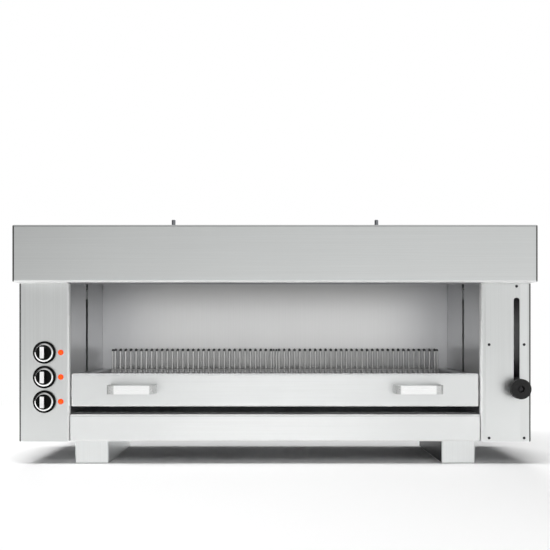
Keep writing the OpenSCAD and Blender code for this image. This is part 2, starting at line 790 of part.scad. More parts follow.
module guide_bracket(z) {
    x = [inner_x + sheet_t, guide_x[1] + 14];
    y = [lift_y - bracket_w / 2, lift_y + bracket_w / 2];
    difference() {
        union() {
            block([x[0], y[0], z], [x[1], y[1], z + bracket_t]);
            block([x[0], y[0], z - bracket_leg], [x[0] + bracket_t, y[1], z + bracket_t]);
        }
        for (rod_x = guide_x)
            translate([rod_x, lift_y, z - 1])
                cylinder(d = spigot_d + 2 * fit_gap, h = bracket_t + 2);
    }
}

module guide_brackets() {
    color("darkgray") for (m = [0, 1]) mirror([m, 0, 0]) {
        guide_bracket(guide_low_z - bracket_t);
        guide_bracket(guide_high_z);
    }
}

module lift_blocks() {
    color("lightsteelblue") for (m = [0, 1]) mirror([m, 0, 0]) difference() {
        block([lift_block_x[0], lift_y - lift_block_d / 2, lift_block_z],
              [lift_block_x[1], lift_y + lift_block_d / 2, lift_block_z + lift_block_h]);
        for (x = guide_x)
            translate([x, lift_y, lift_block_z - 1]) cylinder(d = bush_d, h = lift_block_h + 2);
    }
}

module lift_bushes() {
    r = [guide_d / 2 + guide_clear, bush_d / 2, bush_d / 2 + 2];
    top = lift_block_h;
    color("darkgoldenrod") for (s = [-1, 1]) for (x = guide_x)
        translate([s * x, lift_y, lift_block_z]) rotate_extrude() polygon([
            [r[0], 0], [r[1], 0], [r[1], top], [r[2], top], [r[2], top + bush_lip], [r[0], top + bush_lip]
        ]);
}

// Folded frame round both halves of the rack, with ledges towards the cavity's walls
module rack_frame() {
    ledge_x = inner_x - ledge_gap;
    ledge_y = back_y - ledge_gap;
    foot_x = rail_x - rail_foot;
    low_z = rail_z - rail_t;
    side_path = [[ledge_x, ledge_z], [rail_x, ledge_z], [rail_x, rail_z], [foot_x, rail_z]];
    rear_path = [[ledge_y, ledge_z], [rail_y[1], ledge_z],
                 [rail_y[1], rail_z], [rail_y[1] - rail_foot, rail_z]];
    color("lightgray") {
        for (m = [0, 1]) mirror([m, 0, 0]) {
            lengthwise([rail_y[0], rail_y[1] + rail_t]) polygon(strip(side_path, rail_t, tight_r));
            difference() {
                block([rail_x + rail_t, lift_y - bar_s / 2, bar_z - bar_s / 2],
                      [lift_block_x[0], lift_y + bar_s / 2, bar_z + bar_s / 2]);
                block([rail_x, lift_y - bar_s / 2 + bar_t, bar_z - bar_s / 2 + bar_t],
                      [side_x, lift_y + bar_s / 2 - bar_t, bar_z + bar_s / 2 - bar_t]);
            }
        }
        crosswise([-ledge_x, ledge_x]) polygon(strip(rear_path, rail_t, tight_r));
        block([-rail_x, rail_y[0], low_z], [rail_x, rail_y[0] + rail_t, rack_z]);
        block([-rail_x, rail_y[0], low_z], [rail_x, rail_y[0] + rail_foot, rail_z]);
        block([-rail_x, lift_y - strip_w / 2, low_z], [rail_x, lift_y + strip_w / 2, rail_z]);
        block([-strip_w / 2, rail_y[0], low_z], [strip_w / 2, rail_y[1], rail_z]);
    }
}

// Rod or wire of diameter d that runs back, turns up and bends back at its tip
module rack_rod(d) {
    z = rack_z - (rod_d - d) / 2;
    y = rod_rear_y + (rod_d - d) / 2;
    tip_z = rack_z + upstand_h - rod_d / 2;
    translate([0, grid_front_y, z]) tube(y - rod_bend_r - grid_front_y, d);
    translate([0, y - rod_bend_r, z + rod_bend_r]) rotate([90, 0, 90]) rotate(-90)
        tube_bend(rod_bend_r, 90, d);
    translate([0, y, z + rod_bend_r]) cylinder(d = d, h = tip_z - rod_tip_r - z - rod_bend_r);
    translate([0, y + rod_tip_r, tip_z - rod_tip_r]) rotate([90, 0, 90]) rotate(90)
        tube_bend(rod_tip_r, 90, d);
    translate([0, y + rod_tip_r, tip_z]) tube(rod_tip_l, d);
}

// Half of the rack, drawn about its own middle
module rack_grid() {
    side = grid_w / 2 - wire_d / 2;
    stop_wire_d = wire_d - 1;
    upright_gap = (rod_d + wire_d) / 2 - weld;
    wires_y = [grid_front_y + 8, lift_y, rod_rear_y - 26];
    for (i = [0:rod_count - 1])
        translate([(i - (rod_count - 1) / 2) * rod_pitch, 0, 0]) rack_rod(rod_d);
    for (s = [-1, 1])
        translate([s * side, 0, 0]) rack_rod(wire_d);
    for (y = wires_y)
        translate([-side, y, wire_z]) rotate([0, 90, 0]) cylinder(d = wire_d, h = 2 * side);
    translate([-side, rod_rear_y - (rod_d + stop_wire_d) / 2 + weld, ledge_z - 1])
        rotate([0, 90, 0]) cylinder(d = stop_wire_d, h = 2 * side);
    translate([-side, rod_rear_y + upright_gap, ledge_z + wire_d])
        rotate([0, 90, 0]) cylinder(d = wire_d, h = 2 * side);
}

module rack_grid_at(s) {
    color("silver") translate([s * (rack_x + rack_mid_gap / 2) / 2, 0, 0]) rack_grid();
}

// Arm from the right lift block to the guide nose that runs in the cover plate's slot
module lift_arm() {
    y = [cover_y + 0.2, front_y + move_gap, front_y + move_gap + guide_flange_t];
    nose_w = lift_slot_w - 2 * nose_play;
    flange_w = [22, nose_w / 2 + 4]; // reach of the guide's flange to either side of the slot
    z = [lift_z - nose_down, lift_z + nose_up];
    color("lightsteelblue") difference() {
        union() {
            lengthwise([y[0], y[2]]) stadium(lift_slot_x, nose_w, z);
            block([lift_slot_x - flange_w[0], y[1], z[0]], [lift_slot_x + flange_w[1], y[2], z[1]]);
            block([lift_slot_x - arm_w / 2, y[2], lift_z - arm_h / 2],
                  [lift_slot_x + arm_w / 2, lift_y - lift_block_d / 2, lift_z + arm_h / 2]);
        }
        translate([lift_slot_x, y[2] + clamp_depth, lift_z]) rotate([90, 0, 0])
            cylinder(d = clamp_d, h = clamp_depth + guide_flange_t + sheet_t + 1);
    }
}

lift_face_y = cover_y - lift_knob_reach;
lift_disc_y = lift_face_y + lift_knob_t;
washer_y = cover_y - move_gap;

module on_lift_axis(y) { translate([lift_slot_x, y, lift_z]) rotate([90, 0, 0]) children(); }

module clamp_stud() {
    y0 = front_y + move_gap + guide_flange_t + clamp_depth;
    color("gray") on_lift_axis(y0) cylinder(d = clamp_d, h = y0 - lift_face_y - 4);
}

module clamp_washer() {
    color("gray") on_lift_axis(washer_y) difference() {
        cylinder(d = washer_d, h = washer_t);
        translate([0, 0, -1]) cylinder(d = clamp_d + 2 * fit_gap, h = washer_t + 2);
    }
}

module lift_knob() {
    r = lift_knob_d / 2;
    hub_r = 11;
    hub_y = washer_y - washer_t - move_gap;
    hub_l = hub_y - lift_disc_y;
    full = hub_l + lift_knob_t;
    edge = 1.6;
    recess_r = lift_recess_d / 2;
    color([0.15, 0.15, 0.15]) on_lift_axis(hub_y) rotate_extrude() polygon(concat(
        [[insert_d / 2, 0], [hub_r, 0], [hub_r, hub_l - 2], [hub_r + 2, hub_l]],
        arc([r - edge, hub_l + edge], edge, -90, 90, 4),
        arc([r - edge, full - edge], edge, 0, 90, 4),
        [[recess_r + 0.8, full], [recess_r, full - 0.8], [recess_r, full - lift_recess_h],
         [insert_d / 2, full - lift_recess_h]]
    ));
}

module lift_knob_insert() {
    hub_y = washer_y - washer_t - move_gap;
    l = hub_y - lift_face_y - lift_recess_h;
    color("darkgoldenrod") on_lift_axis(hub_y) difference() {
        cylinder(d = insert_d, h = l);
        translate([0, 0, -1]) cylinder(d = clamp_d + 2 * shaft_clear, h = l + 2);
    }
}

// ---- Drip tray ----

module drip_tray() {
    path = [[-pan_lip_x, pan_lip_z], [-pan_x, pan_lip_z], [-pan_x, pan_z],
            [pan_x, pan_z], [pan_x, pan_lip_z], [pan_lip_x, pan_lip_z]];
    color("silver") {
        lengthwise([pan_y, pan_y + pan_l]) polygon(strip(path, sheet_t, tight_r));
        for (y = [pan_y, pan_y + pan_l - sheet_t])
            block([-pan_x, y, pan_z], [pan_x, y + sheet_t, pan_lip_z + sheet_t]);
        block([-pan_x, pan_y, pan_z], [pan_x, pan_y + sheet_t, rail_z - rail_t - pan_front_gap]);
    }
}

module tray_front() {
    lo = [-tray_x, front_y, tray_z];
    hi = [tray_x, front_y + tray_front_d, tray_z + tray_front_h];
    r = tray_edge_r + sheet_t;
    t = [sheet_t, sheet_t, sheet_t];
    back = [0, 3 * r, 0];
    color("whitesmoke") difference() {
        rounded_box(lo, hi + back, r);
        rounded_box(lo + t, hi + 2 * back - t, tray_edge_r);
        block([lo[0] - 1, hi[1], lo[2] - 1], hi + back + [1, 1, 1]);
    }
}

module tray_handle(x) {
    z = tray_z + handle_up;
    w = handle_w / 2;
    y = front_y - handle_reach;
    path = [[x - w, front_y], [x - w, y], [x + w, y], [x + w, front_y]];
    color("white") upright([z - handle_h / 2, z + handle_h / 2])
        polygon(strip(path, handle_t, handle_r - handle_t, 10));
}

module tray_runners() {
    z = pan_lip_z - move_gap;
    path = [[inner_x, z - runner_h], [inner_x, z], [inner_x - runner_w, z]];
    color("gray") for (m = [0, 1]) mirror([m, 0, 0])
        lengthwise([pan_y + 2, pan_y + pan_l + 10]) polygon(strip(path, sheet_t, tight_r));
}

mirrored() foot_rail();  // left_foot_rail
foot_rail();  // right_foot_rail
base_pan();
mirrored() side_panel(true);  // left_side_panel
side_panel(false);  // right_side_panel
rear_panel();
control_fascia();
right_column_frame();
slot_cover_plate();
panel_screws();
mirrored() liner();  // left_liner
liner();  // right_liner
back_liner();
cavity_floor();
lower_front_panel();
hood_shell();
heat_reflector();
element_supports();
heating_element(-1);  // element_left
heating_element(0);  // element_centre
heating_element(1);  // element_right
ceiling_insulation();
hanging_studs();
guide_rods();
guide_brackets();
tray_runners();
terminal_block();
cable_gland();
energy_regulators();
lamp_bodies();
lamp_lens(knob_z[0]);  // lamp_lens_upper
lamp_lens(knob_z[1]);  // lamp_lens_middle
lamp_lens(knob_z[2]);  // lamp_lens_lower
rack_grid_at(-1);  // rack_grid_left
rack_grid_at(1);  // rack_grid_right
rack_frame();
lift_blocks();
lift_bushes();
lift_arm();
clamp_stud();
clamp_washer();
lift_knob();
lift_knob_insert();
drip_tray();
tray_front();
tray_handle(-handle_x);  // left_tray_handle
tray_handle(handle_x);  // right_tray_handle
control_knob(knob_z[0]);  // knob_upper
control_knob(knob_z[1]);  // knob_middle
control_knob(knob_z[2]);  // knob_lower
knob_ring(knob_z[0]);  // knob_ring_upper
knob_ring(knob_z[1]);  // knob_ring_middle
knob_ring(knob_z[2]);  // knob_ring_lower
knob_marker(knob_z[0]);  // knob_marker_upper
knob_marker(knob_z[1]);  // knob_marker_middle
knob_marker(knob_z[2]);  // knob_marker_lower
knob_shaft(knob_z[0]);  // knob_shaft_upper
knob_shaft(knob_z[1]);  // knob_shaft_middle
knob_shaft(knob_z[2]);  // knob_shaft_lower
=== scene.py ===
"""Finishes, studio and camera for an electric cheese melter.

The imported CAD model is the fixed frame. One operator sets up the studio, and each of the
others dresses one group of the model's parts. All lengths are in metres.
"""

import math

import bpy
from bpy.props import FloatProperty, FloatVectorProperty, PointerProperty
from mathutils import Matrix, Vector


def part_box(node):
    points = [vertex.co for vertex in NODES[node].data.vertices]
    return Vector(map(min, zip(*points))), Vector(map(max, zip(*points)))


bl_info = {
    "name": "Cheese Melter",
    "version": (1, 0, 0),
    "blender": (4, 5, 0),
    "location": "View3D > Sidebar > Cheese Melter",
    "description": "Dresses the cheese melter's parts and sets up its studio",
    "category": "Object",
}

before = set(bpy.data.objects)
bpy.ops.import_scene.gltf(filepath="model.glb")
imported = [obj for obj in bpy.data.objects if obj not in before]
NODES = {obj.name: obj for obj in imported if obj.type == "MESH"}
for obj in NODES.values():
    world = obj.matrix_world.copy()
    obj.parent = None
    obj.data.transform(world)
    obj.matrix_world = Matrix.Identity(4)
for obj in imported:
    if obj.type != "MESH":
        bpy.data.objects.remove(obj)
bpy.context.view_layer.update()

LEVELS = ("upper", "middle", "lower")
WHITE = (1.0, 1.0, 1.0, 1.0)


# ---- Properties ----

def colour_property(name, description, default):
    return FloatVectorProperty(
        name=name,
        description=description,
        default=default,
        subtype="COLOR",
        size=3,
        min=0.0,
        max=1.0,
    )


def factor_property(name, description, default):
    return FloatProperty(
        name=name, description=description, default=default, subtype="FACTOR", min=0.0, max=1.0
    )


def length_property(name, description, default):
    return FloatProperty(
        name=name, description=description, default=default, subtype="DISTANCE", unit="LENGTH"
    )


def power_property(name, description, default):
    return FloatProperty(name=name, description=description, default=default, unit="POWER", min=0.0)


class MelterSteel(bpy.types.PropertyGroup):
    hood: colour_property("Hood", "Colour of the hood's brushed steel", (0.73, 0.747, 0.74))
    body: colour_property("Body", "Colour of the columns and outer panels", (0.72, 0.735, 0.728))
    # Painted highlight: the lower parts of the columns' fronts are painted lighter, where they
    # reflect the bright floor
    left_column_low_highlight: colour_property(
        "Left Foot", "Colour of the left column's foot", (0.775, 0.79, 0.783)
    )
    right_column_low_highlight: colour_property(
        "Right Foot", "Colour of the right column's foot", (0.83, 0.845, 0.838)
    )
    # Painted highlight: the cover plate's outer strip is painted lighter
    cover_side_highlight: colour_property(
        "Cover Side", "Colour of the cover plate beside its slot", (0.79, 0.805, 0.798)
    )
    lower_panel: colour_property(
        "Lower Panel", "Colour of the lower panel's ends", (0.88, 0.893, 0.888)
    )
    # Painted highlight: the middle of the lower panel is painted lighter than its ends
    lower_panel_highlight: colour_property(
        "Lower Panel Middle", "Colour of the lower panel's middle", (0.975, 0.985, 0.98)
    )
    tray: colour_property(
        "Drip Tray", "Colour of the drip tray and the ends of its front", (0.82, 0.835, 0.83)
    )
    # Painted highlight: the middle of the tray's front is painted lighter than its ends
    tray_front_highlight: colour_property(
        "Tray Middle", "Colour of the middle of the tray's front", (0.925, 0.94, 0.935)
    )
    feet: colour_property("Feet", "Colour of the foot rails", (0.84, 0.855, 0.85))
    # Painted shade: the right foot rail's inner side is painted nearly black
    foot_side_shade: colour_property(
        "Foot Side", "Colour of the right foot rail's inner side", (0.06, 0.06, 0.065)
    )
    liner: colour_property("Liner", "Colour of the cooking cavity's steel", (0.81, 0.815, 0.825))
    # Painted shade: the side walls are painted darker towards the ceiling
    liner_top_shade: colour_property(
        "Liner Top", "Colour of the side walls below the ceiling", (0.50, 0.505, 0.515)
    )
    # Painted light on the back wall: its middle is painted lighter, and its top and corners darker
    # as shade
    back: colour_property("Back Wall", "Colour of the back wall's middle", (0.95, 0.953, 0.948))
    back_corner_shade: colour_property(
        "Back Corners", "Colour of the back wall towards its corners", (0.85, 0.855, 0.865)
    )
    back_top_shade: colour_property(
        "Back Top", "Colour of the back wall below the ceiling", (0.84, 0.84, 0.835)
    )
    floor: colour_property("Cavity Floor", "Colour of the cavity's floor", (0.95, 0.96, 0.98))
    reflector: colour_property(
        "Reflector", "Colour of the heat reflector in the ceiling", (0.40, 0.40, 0.41)
    )
    # Painted shade: the sheet steel inside the body is painted darker than it is, as the shade it
    # stands in
    hidden_shade: colour_property(
        "Hidden Sheet", "Colour of the sheet steel inside the body", (0.36, 0.365, 0.37)
    )
    polished: colour_property(
        "Polished", "Colour of the handles and the knobs' rings", (0.96, 0.965, 0.96)
    )
    # Painted shade: the handles are painted darker towards their corners
    handle_end_shade: colour_property(
        "Handle Ends", "Colour of the handles towards their corners", (0.60, 0.605, 0.60)
    )
    rack: colour_property("Rack", "Colour of the rack's wire", (0.95, 0.95, 0.94))
    # Painted shade: the tips of the rack's upturned rods are painted dark
    rack_tip_shade: colour_property(
        "Rack Tips", "Colour of the rack's upturned tips", (0.25, 0.25, 0.25)
    )
    screws: colour_property("Screws", "Colour of the panel screws", (0.05, 0.05, 0.055))
    mechanism: colour_property("Mechanism", "Colour of the lift's steel parts", (0.30, 0.31, 0.33))
    blackened: colour_property(
        "Blackened", "Colour of the lift's blackened steel parts", (0.05, 0.05, 0.052)
    )
    chrome: colour_property("Chrome", "Colour of the guide rods", (0.80, 0.81, 0.82))
    brass: colour_property("Brass", "Colour of the lift's bushes", (0.62, 0.46, 0.20))
    element: colour_property("Heating Tube", "Colour of the heating elements", (0.13, 0.125, 0.12))
    sheet_roughness: factor_property(
        "Sheet Roughness", "Roughness of the brushed sheet steel", 0.38
    )
    grain_contrast: factor_property("Grain Contrast", "How strongly the brushing shows", 0.08)


class MelterPlastics(bpy.types.PropertyGroup):
    knob: colour_property("Control Knobs", "Colour of the control knobs", (0.008, 0.008, 0.008))
    grip: colour_property("Lift Knob", "Colour of the lift's clamp knob", (0.024, 0.024, 0.024))
    marker: colour_property("Marker", "Colour of the knobs' marker bars", (0.92, 0.92, 0.92))
    lamp_rim: colour_property(
        "Lamp Rim", "Colour of the pilot lamps at their rim", (0.85, 0.03, 0.002)
    )
    lamp_middle: colour_property(
        "Lamp Middle", "Colour of the pilot lamps at their middle", (0.92, 0.095, 0.002)
    )
    regulator: colour_property(
        "Regulators", "Colour of the regulators and lamp bodies", (0.55, 0.55, 0.53)
    )
    terminal: colour_property("Terminals", "Colour of the terminal block", (0.62, 0.60, 0.52))
    gland: colour_property("Gland", "Colour of the cable gland", (0.04, 0.04, 0.042))
    insulation: colour_property(
        "Insulation", "Colour of the ceiling's insulation", (0.60, 0.55, 0.38)
    )


class MelterStudio(bpy.types.PropertyGroup):
    camera_distance: length_property(
        "Camera Distance", "Distance from the origin to the camera", 1.966
    )
    camera_height: length_property("Camera Height", "Height of the camera above the floor", 0.302)
    lens: FloatProperty(
        name="Lens",
        description="Focal length of the camera",
        default=50.0,
        subtype="DISTANCE_CAMERA",
        unit="CAMERA",
    )
    shift: FloatProperty(name="Shift", description="Upward shift of the lens", default=0.111)
    floor: colour_property("Floor", "Colour of the floor", (0.97, 0.97, 0.97))
    dome: FloatProperty(
        name="Dome", description="Strength of the even light all round", default=0.14, min=0.0
    )
    top: power_property("Top", "Power of the lamp above the front", 34.0)
    fill: power_property("Fill", "Power of the lamp behind the camera", 18.0)
    side: power_property("Side", "Power of the lamp on the left", 48.0)
    back: power_property("Back", "Power of the lamp behind the object", 165.0)


# ---- Shader helpers ----

def add(tree, kind, **values):
    """A shader node, with its settings and the plain values of its inputs."""
    node = tree.nodes.new(kind)
    for key, value in values.items():
        if key == "inputs":
            for name, plain in value.items():
                node.inputs[name].default_value = plain
        else:
            setattr(node, key, value)
    return node


def math_node(tree, operation, a, b=None):
    node = add(tree, "ShaderNodeMath", operation=operation)
    for socket, value in zip(node.inputs, (a, b)):
        if isinstance(value, bpy.types.NodeSocket):
            tree.links.new(value, socket)
        elif value is not None:
            socket.default_value = value
    return node.outputs[0]


def multiply_add(tree, value, factor, offset):
    """The value times the factor plus the offset, which may be plain or a socket."""
    result = math_node(tree, "MULTIPLY_ADD", value, factor)
    if isinstance(offset, bpy.types.NodeSocket):
        tree.links.new(offset, result.node.inputs[2])
    else:
        result.node.inputs[2].default_value = offset
    return result


def map_range(tree, value, low, high, to_low, to_high, smooth=False):
    node = add(
        tree,
        "ShaderNodeMapRange",
        interpolation_type="SMOOTHSTEP" if smooth else "LINEAR",
        inputs={"From Min": low, "From Max": high, "To Min": to_low, "To Max": to_high},
    )
    tree.links.new(value, node.inputs["Value"])
    return node.outputs["Result"]


# Places of the colour mixer's sockets, whose names are shared with its other data types
MIX_FACTOR, MIX_A, MIX_B, MIX_RESULT = 0, 6, 7, 2


def mix_colours(tree, factor, a, b, blend="MIX"):
    node = add(tree, "ShaderNodeMix", data_type="RGBA", blend_type=blend)
    for place, value in ((MIX_FACTOR, factor), (MIX_A, a), (MIX_B, b)):
        socket = node.inputs[place]
        if isinstance(value, bpy.types.NodeSocket):
            tree.links.new(value, socket)
        else:
            socket.default_value = value
    return node.outputs[MIX_RESULT]


def rgba(colour):
    return (*colour, 1.0)


def new_group(name, inputs, outputs):
    """An empty node group with its sockets; returns the tree, its inputs and its outputs."""
    tree = bpy.data.node_groups.new(name, "ShaderNodeTree")
    for direction, sockets in (("INPUT", inputs), ("OUTPUT", outputs)):
        for socket_name, kind, default in sockets:
            socket = tree.interface.new_socket(socket_name, in_out=direction, socket_type=kind)
            if default is not None:
                socket.default_value = default
    return tree, tree.nodes.new("NodeGroupInput"), tree.nodes.new("NodeGroupOutput")


# What a skin group puts out
SKIN_OUTPUTS = (
    ("Colour", "NodeSocketColor", None),
    ("Roughness", "NodeSocketFloat", None),
    ("Height", "NodeSocketFloat", None),
)

# The noise behind the brushed lines, the soft clouds over them and the moulded speckle
LINE_NOISE = {"Scale": 1.0, "Detail": 3.0, "Roughness": 0.6}
CLOUD_NOISE = {"Scale": 5.0, "Detail": 2.0, "Roughness": 0.5}
SPECKLE_NOISE = {"Scale": 900.0, "Detail": 2.0}

# How far the lines and clouds swing the brightness, and how far the lines swing the roughness
LINE_SWING = 2.0
CLOUD_SWING = 0.6
ROUGHNESS_SWING = 0.06


def greyed(tree, colour, brightness):
    """The colour times a brightness."""
    grey = add(tree, "ShaderNodeCombineColor")
    for channel in grey.inputs:
        tree.links.new(brightness, channel)
    return mix_colours(tree, 1.0, colour, grey.outputs[0], "MULTIPLY")


def build_brushed_grain():
    """Fine lines along one direction, which vary the colour, the roughness and the height."""
    tree, given, result = new_group(
        "Brushed Grain",
        [
            ("Colour", "NodeSocketColor", (0.7, 0.7, 0.7, 1.0)),
            ("Stretch", "NodeSocketVector", (3.0, 300.0, 600.0)),
            ("Contrast", "NodeSocketFloat", 0.08),
            ("Roughness", "NodeSocketFloat", 0.4),
        ],
        SKIN_OUTPUTS,
    )
    link = tree.links.new
    place = add(tree, "ShaderNodeTexCoord")
    stretched = add(tree, "ShaderNodeVectorMath", operation="MULTIPLY")
    link(place.outputs["Object"], stretched.inputs[0])
    link(given.outputs["Stretch"], stretched.inputs[1])
    lines = add(tree, "ShaderNodeTexNoise", inputs=LINE_NOISE)
    link(stretched.outputs[0], lines.inputs["Vector"])
    clouds = add(tree, "ShaderNodeTexNoise", inputs=CLOUD_NOISE)
    link(place.outputs["Object"], clouds.inputs["Vector"])
    swing = multiply_add(tree, lines.outputs["Fac"], LINE_SWING, -LINE_SWING / 2)
    cloud_swing = multiply_add(tree, clouds.outputs["Fac"], CLOUD_SWING, -CLOUD_SWING / 2)
    both = math_node(tree, "ADD", swing, cloud_swing)
    shade = math_node(tree, "MULTIPLY", both, given.outputs["Contrast"])
    brightness = math_node(tree, "ADD", shade, 1.0)
    link(greyed(tree, given.outputs["Colour"], brightness), result.inputs["Colour"])
    rough = multiply_add(tree, swing, ROUGHNESS_SWING, given.outputs["Roughness"])
    link(rough, result.inputs["Roughness"])
    link(lines.outputs["Fac"], result.inputs["Height"])
    return tree


def build_moulded_speckle():
    """The fine uneven skin of moulded plastic."""
    tree, given, result = new_group(
        "Moulded Speckle",
        [
            ("Colour", "NodeSocketColor", (0.03, 0.03, 0.03, 1.0)),
            ("Roughness", "NodeSocketFloat", 0.4),
            ("Amount", "NodeSocketFloat", 0.2),
        ],
        SKIN_OUTPUTS,
    )
    link = tree.links.new
    place = add(tree, "ShaderNodeTexCoord")
    speckle = add(tree, "ShaderNodeTexNoise", inputs=SPECKLE_NOISE)
    link(place.outputs["Object"], speckle.inputs["Vector"])
    swing = math_node(tree, "SUBTRACT", speckle.outputs["Fac"], 0.5)
    amount = math_node(tree, "MULTIPLY", swing, given.outputs["Amount"])
    brightness = math_node(tree, "ADD", amount, 1.0)
    link(greyed(tree, given.outputs["Colour"], brightness), result.inputs["Colour"])
    rough = math_node(tree, "ADD", given.outputs["Roughness"], amount)
    link(rough, result.inputs["Roughness"])
    link(speckle.outputs["Fac"], result.inputs["Height"])
    return tree


# Every tone laid with this group paints highlights and shade into a part's colour by place
def build_tone_across():
    """Turns one colour into another between two distances along an axis."""
    tree, given, result = new_group(
        "Tone Across",
        [
            ("Colour", "NodeSocketColor", (0.7, 0.7, 0.7, 1.0)),
            ("Far Colour", "NodeSocketColor", (0.2, 0.2, 0.2, 1.0)),
            ("Axis", "NodeSocketVector", (1.0, 0.0, 0.0)),
            ("Near", "NodeSocketFloat", 0.0),
            ("Far", "NodeSocketFloat", 1.0),
        ],
        [("Colour", "NodeSocketColor", None), ("Factor", "NodeSocketFloat", None)],
    )
    link = tree.links.new
    place = add(tree, "ShaderNodeTexCoord")
    distance = add(tree, "ShaderNodeVectorMath", operation="ABSOLUTE")
    link(place.outputs["Object"], distance.inputs[0])
    along = add(tree, "ShaderNodeVectorMath", operation="DOT_PRODUCT")
    link(distance.outputs[0], along.inputs[0])
    link(given.outputs["Axis"], along.inputs[1])
    share = add(tree, "ShaderNodeMapRange", interpolation_type="SMOOTHSTEP")
    link(along.outputs["Value"], share.inputs["Value"])
    link(given.outputs["Near"], share.inputs["From Min"])
    link(given.outputs["Far"], share.inputs["From Max"])
    factor = share.outputs["Result"]
    mixed = mix_colours(tree, factor, given.outputs["Colour"], given.outputs["Far Colour"])
    link(mixed, result.inputs["Colour"])
    link(factor, result.inputs["Factor"])
    return tree


def group_named(name, build):
    return bpy.data.node_groups.get(name) or build()


def new_material(name, values):
    """A material whose Principled BSDF has these plain values; returns it, its tree and the
    shader."""
    material = bpy.data.materials.new(name)
    material.use_nodes = True
    shader = material.node_tree.nodes["Principled BSDF"]
    for key, value in values.items():
        shader.inputs[key].default_value = value
    return material, material.node_tree, shader


def lay_tones(tree, shader, tones):
    """Changes the colour by place; a matt tone also takes the metal's mirror away."""
    for far_colour, (axis, near, far), matt in tones:
        change = add(
            tree,
            "ShaderNodeGroup",
            node_tree=group_named("Tone Across", build_tone_across),
            inputs={"Far Colour": rgba(far_colour), "Axis": axis, "Near": near, "Far": far},
        )
        tree.links.new(shader.inputs["Base Color"].links[0].from_socket, change.inputs["Colour"])
        tree.links.new(change.outputs["Colour"], shader.inputs["Base Color"])
        if matt:
            metal = shader.inputs["Metallic"]
            before = metal.links[0].from_socket if metal.links else metal.default_value
            kept = math_node(tree, "SUBTRACT", 1.0, change.outputs["Factor"])
            tree.links.new(math_node(tree, "MULTIPLY", before, kept), metal)


def textured(name, group, shader_inputs, group_inputs, bump, tones=()):
    """A material whose colour, roughness and relief come from a shared group."""
    material, tree, shader = new_material(name, shader_inputs)
    skin = add(tree, "ShaderNodeGroup", node_tree=group, inputs=group_inputs)
    relief = add(tree, "ShaderNodeBump", inputs={"Strength": bump[0], "Distance": bump[1]})
    tree.links.new(skin.outputs["Colour"], shader.inputs["Base Color"])
    tree.links.new(skin.outputs["Roughness"], shader.inputs["Roughness"])
    tree.links.new(skin.outputs["Height"], relief.inputs["Height"])
    tree.links.new(relief.outputs["Normal"], shader.inputs["Normal"])
    lay_tones(tree, shader, tones)
    return material


# How fine the brushing is along X, Y and Z, in grains to the metre
LEVEL_GRAIN = (4.0, 420.0, 900.0)
UPRIGHT_GRAIN = (320.0, 320.0, 2.5)
FORE_AFT_GRAIN = (420.0, 4.0, 900.0)
EVEN_GRAIN = (160.0, 160.0, 160.0)

# Strength and depth in metres of the relief
STEEL_RELIEF = (0.05, 0.0002)
PLASTIC_RELIEF = (0.08, 0.0002)

# Colours of painted light on the sheets' edges and bends: a dark band painted as a reflection on
# corner bends, and bright and softer matt strips painted as highlights on folded edges
DARK_BEND_REFLECTION = (0.10, 0.10, 0.10)
BEND_HIGHLIGHT = (0.93, 0.935, 0.93)
SOFT_BEND_HIGHLIGHT = (0.66, 0.67, 0.67)

# How much of their mirror the hood and the columns keep where they turn away from the eye; the rest
# is a painted dark reflection along their outlines
DARK_RIM = 0.1

# The directions of the tones: out from the middle, up from the floor, and out to the corners,
# where the distances sideways and forwards add up
ACROSS, UP, CORNERS = (1.0, 0.0, 0.0), (0.0, 0.0, 1.0), (1.0, 1.0, 0.0)

# Soft tones of painted light: the direction, where the tone starts and where it is full. Columns
# are painted lighter towards the floor, the middles of the lower panel and tray front lighter as a
# highlight, the cavity walls darker towards the ceiling and the back wall towards its top and
# corners, as shade
LEFT_COLUMN_LOW_HIGHLIGHT = (UP, 0.30, 0.08)
RIGHT_COLUMN_LOW_HIGHLIGHT = (UP, 0.30, 0.07)
LOWER_PANEL_HIGHLIGHT_FADE = (ACROSS, 0.05, 0.40)
TRAY_FRONT_HIGHLIGHT_FADE = (ACROSS, 0.05, 0.42)
WALL_TOP_SHADE = (UP, 0.20, 0.44)
BACK_TOP_SHADE = (UP, 0.36, 0.44)
BACK_CORNER_SHADE = (ACROSS, 0.26, 0.46)

# Narrow tones of painted light: how far from a side of the part the tone starts and where it is
# full. They carry the painted reflections on corner bends, the painted highlights on folded edges
# and the cover's outer strip, and the painted shade on the foot rail's side, the rod tips and the
# handles' ends
CORNER_BEND_REFLECTION = (0.0052, 0.0044)
FOLDED_EDGE_HIGHLIGHT = (0.0042, 0.0032)
LOWER_PANEL_EDGE_HIGHLIGHT = (0.0050, 0.0040)
TRAY_EDGE_HIGHLIGHT = (0.0038, 0.0028)
TRAY_END_HIGHLIGHT = (0.0036, 0.0028)
FOOT_SIDE_SHADE = (0.0012, 0.0006)
ROD_TIP_SHADE = (0.0075, 0.0063)
COVER_EDGE_HIGHLIGHT = (0.019, 0.015)
HANDLE_OUTER_END_SHADE = (0.020, 0.016)
HANDLE_INNER_END_SHADE = (0.012, 0.009)


def beside(part, side, start, full):
    """The place of a narrow tone, from a side of the part inwards. The outer side is the one
    further from the object's middle."""
    lowest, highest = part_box(part)
    outer = max(-lowest.x, highest.x)
    axis, edge, inwards = {
        "top": (UP, highest.z, -1),
        "bottom": (UP, lowest.z, 1),
        "outer": (ACROSS, outer, -1),
        "inner": (ACROSS, max(lowest.x, -highest.x), 1),
        "corner": (CORNERS, outer - lowest.y, -1),
    }[side]
    return axis, edge + inwards * start, edge + inwards * full


def tone(colour, place, matt=False):
    """A second colour and its place; where it is matt, the metal has no mirror."""
    return colour, place, matt


